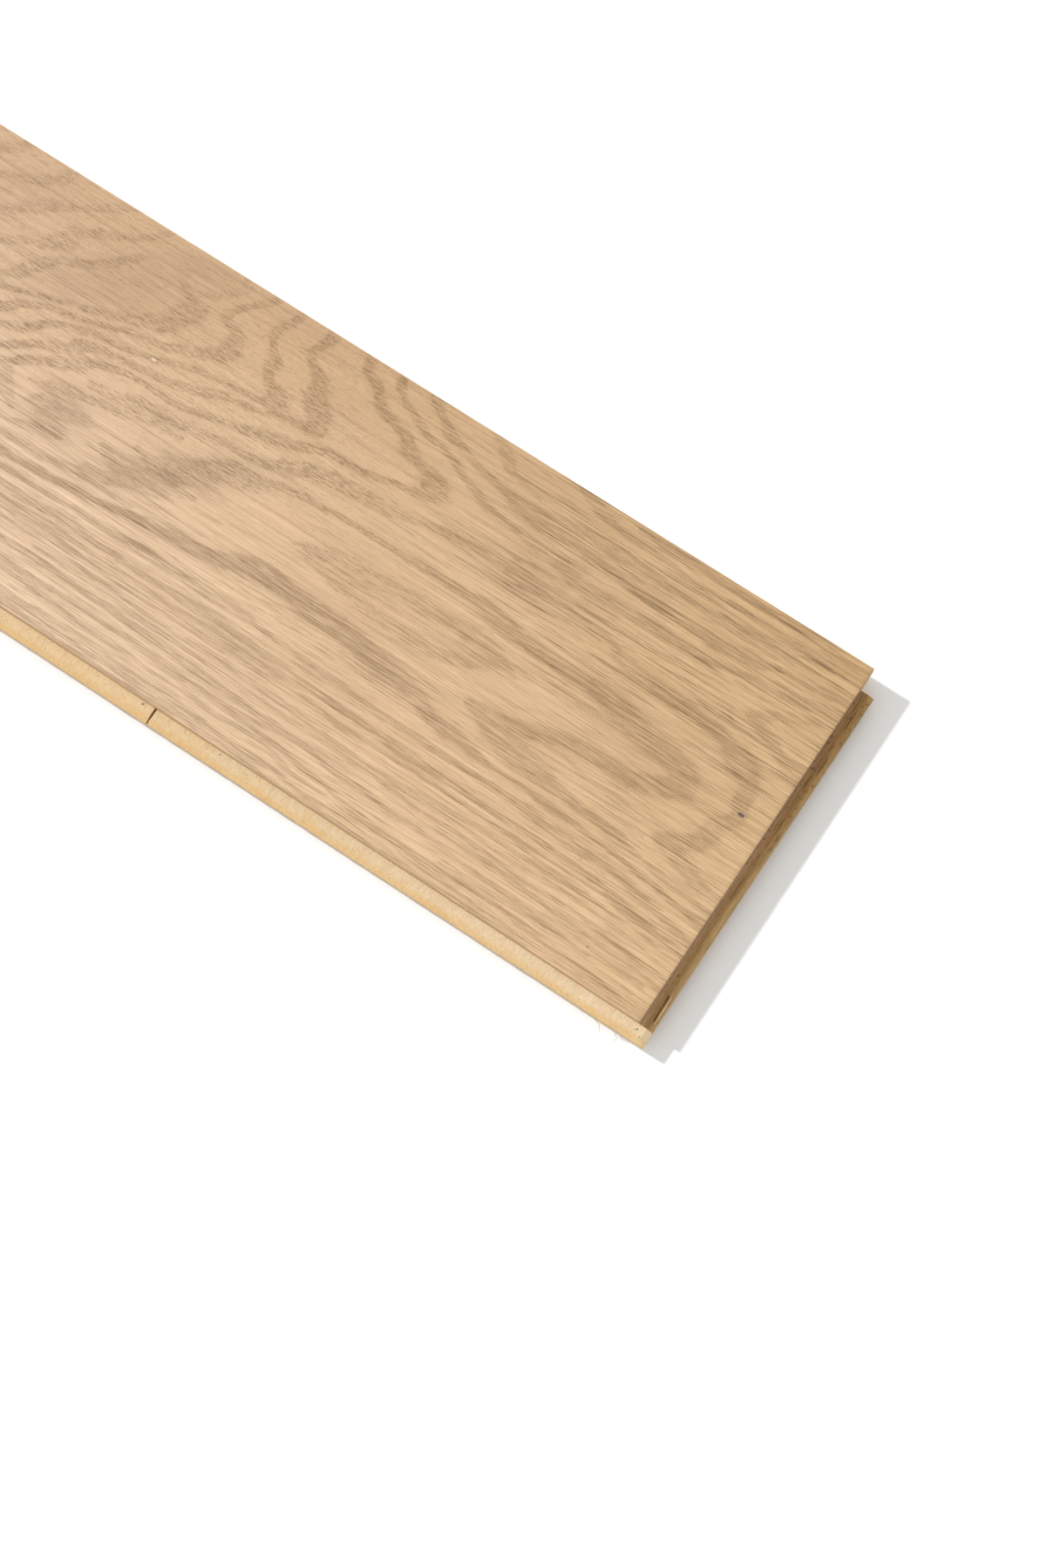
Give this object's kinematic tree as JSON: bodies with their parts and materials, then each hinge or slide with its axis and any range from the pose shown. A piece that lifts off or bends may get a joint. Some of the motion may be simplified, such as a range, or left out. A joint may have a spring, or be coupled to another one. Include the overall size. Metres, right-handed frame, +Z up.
{
  "type": "engineered hardwood floorboard",
  "caption": "Three-ply oak floorboard lying face up: sawn oak wear layer on a cross-laid softwood core and backing, tongue and groove on its long sides and ends.",
  "frame": {"origin": "bottom centre of the board's whole box, tongues included, on the floor under the board", "axes": "+X along the board towards the end with the tongue, +Y across it towards the grooved long side, +Z up out of the oak face"},
  "size_m": [1.9068, 0.1978, 0.015],
  "materials": {
    "oak_face": "matt oiled",
    "softwood_core": "sawn, bare",
    "softwood_backing": "peeled veneer, bare"
  },
  "bodies": {
    "root": {"wear_layer": "oak_face", "core_slats": "softwood_core", "backing_veneer": "softwood_backing"}
  },
  "joints": []
}
